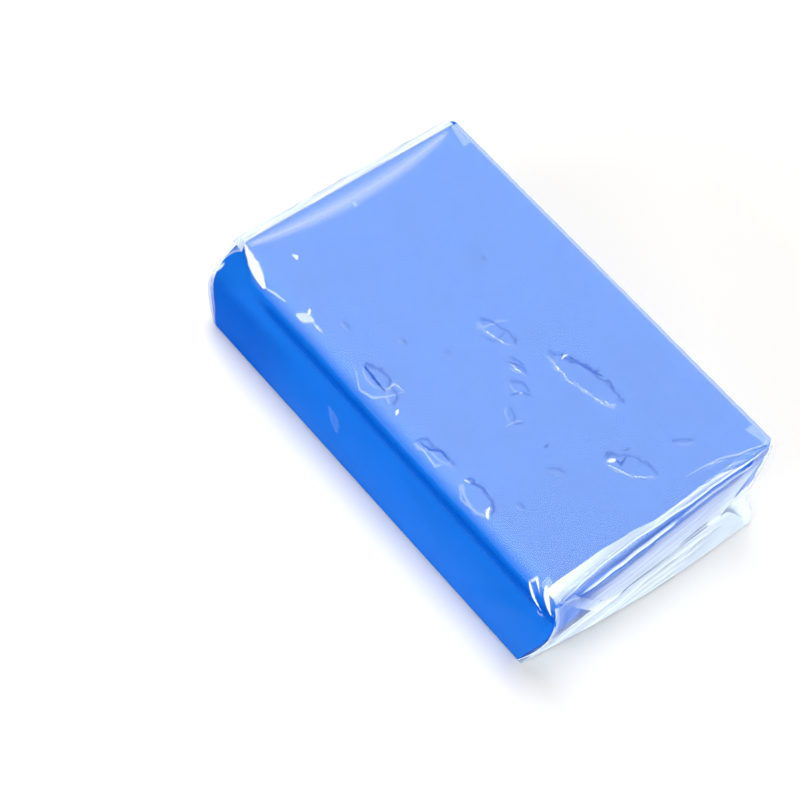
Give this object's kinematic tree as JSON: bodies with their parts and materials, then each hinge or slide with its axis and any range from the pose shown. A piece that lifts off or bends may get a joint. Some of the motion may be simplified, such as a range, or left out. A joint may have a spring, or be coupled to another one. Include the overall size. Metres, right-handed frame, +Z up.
{
  "type": "wrapped clay bar",
  "caption": "Soft detailing clay block in a clear film wrapper, with mitred end folds that swing open on their creases.",
  "frame": {"origin": "on the face that the bar rests on, under the middle of the clay block", "axes": "+X along the bar to the end with the loose fold, +Y across the bar, +Z up out of the large top face"},
  "size_m": [0.0949, 0.0562, 0.0228],
  "materials": {
    "clay": "satin",
    "film": "gloss"
  },
  "bodies": {
    "wrapped_bar": {"clay_bar": "clay", "film_top_panel": "film", "film_bottom_panel": "film", "film_left_panel": "film", "film_right_panel": "film", "film_lap_strip": "film", "near_bottom_lip": "film"},
    "near_upper": {"near_upper_flap": "film"},
    "near_lower": {"near_lower_flap": "film"},
    "near_left": {"near_left_tuck": "film"},
    "near_right": {"near_right_tuck": "film"},
    "far_upper": {"far_upper_flap": "film"},
    "far_lower": {"far_lower_flap": "film"},
    "far_left": {"far_left_tuck": "film"},
    "far_right": {"far_right_tuck": "film"}
  },
  "joints": [
    {"name": "near_upper_fold", "type": "hinge", "parent": "wrapped_bar", "child": "near_upper", "pos_m": [0.04242, 0, 0.0228], "axis": [0, -1, 0], "range_deg": [0, 90]},
    {"name": "near_left_fold", "type": "hinge", "parent": "wrapped_bar", "child": "near_left", "pos_m": [0.04242, -0.02815, 0.0114], "axis": [0, 0, -1], "range_deg": [0, 90]},
    {"name": "near_right_fold", "type": "hinge", "parent": "wrapped_bar", "child": "near_right", "pos_m": [0.04242, 0.02815, 0.0114], "axis": [0, 0, 1], "range_deg": [0, 90]},
    {"name": "near_lower_fold", "type": "hinge", "parent": "wrapped_bar", "child": "near_lower", "pos_m": [0.04565, 0, 0.00035], "axis": [0.0937, 0.9956, 0], "range_deg": [0, 75]},
    {"name": "far_upper_fold", "type": "hinge", "parent": "wrapped_bar", "child": "far_upper", "pos_m": [-0.04242, 0, 0.0228], "axis": [0, 1, 0], "range_deg": [0, 90]},
    {"name": "far_left_fold", "type": "hinge", "parent": "wrapped_bar", "child": "far_left", "pos_m": [-0.04242, -0.02815, 0.0114], "axis": [0, 0, 1], "range_deg": [0, 90]},
    {"name": "far_right_fold", "type": "hinge", "parent": "wrapped_bar", "child": "far_right", "pos_m": [-0.04242, 0.02815, 0.0114], "axis": [0, 0, -1], "range_deg": [0, 90]},
    {"name": "far_lower_fold", "type": "hinge", "parent": "wrapped_bar", "child": "far_lower", "pos_m": [-0.04242, 0, 0], "axis": [0, -1, 0], "range_deg": [0, 60]}
  ],
  "couplings": [
    {"joint": "near_left_fold", "follows": "near_upper_fold", "ratio": 1},
    {"joint": "near_right_fold", "follows": "near_upper_fold", "ratio": 1},
    {"joint": "far_left_fold", "follows": "far_upper_fold", "ratio": 1},
    {"joint": "far_right_fold", "follows": "far_upper_fold", "ratio": 1}
  ]
}
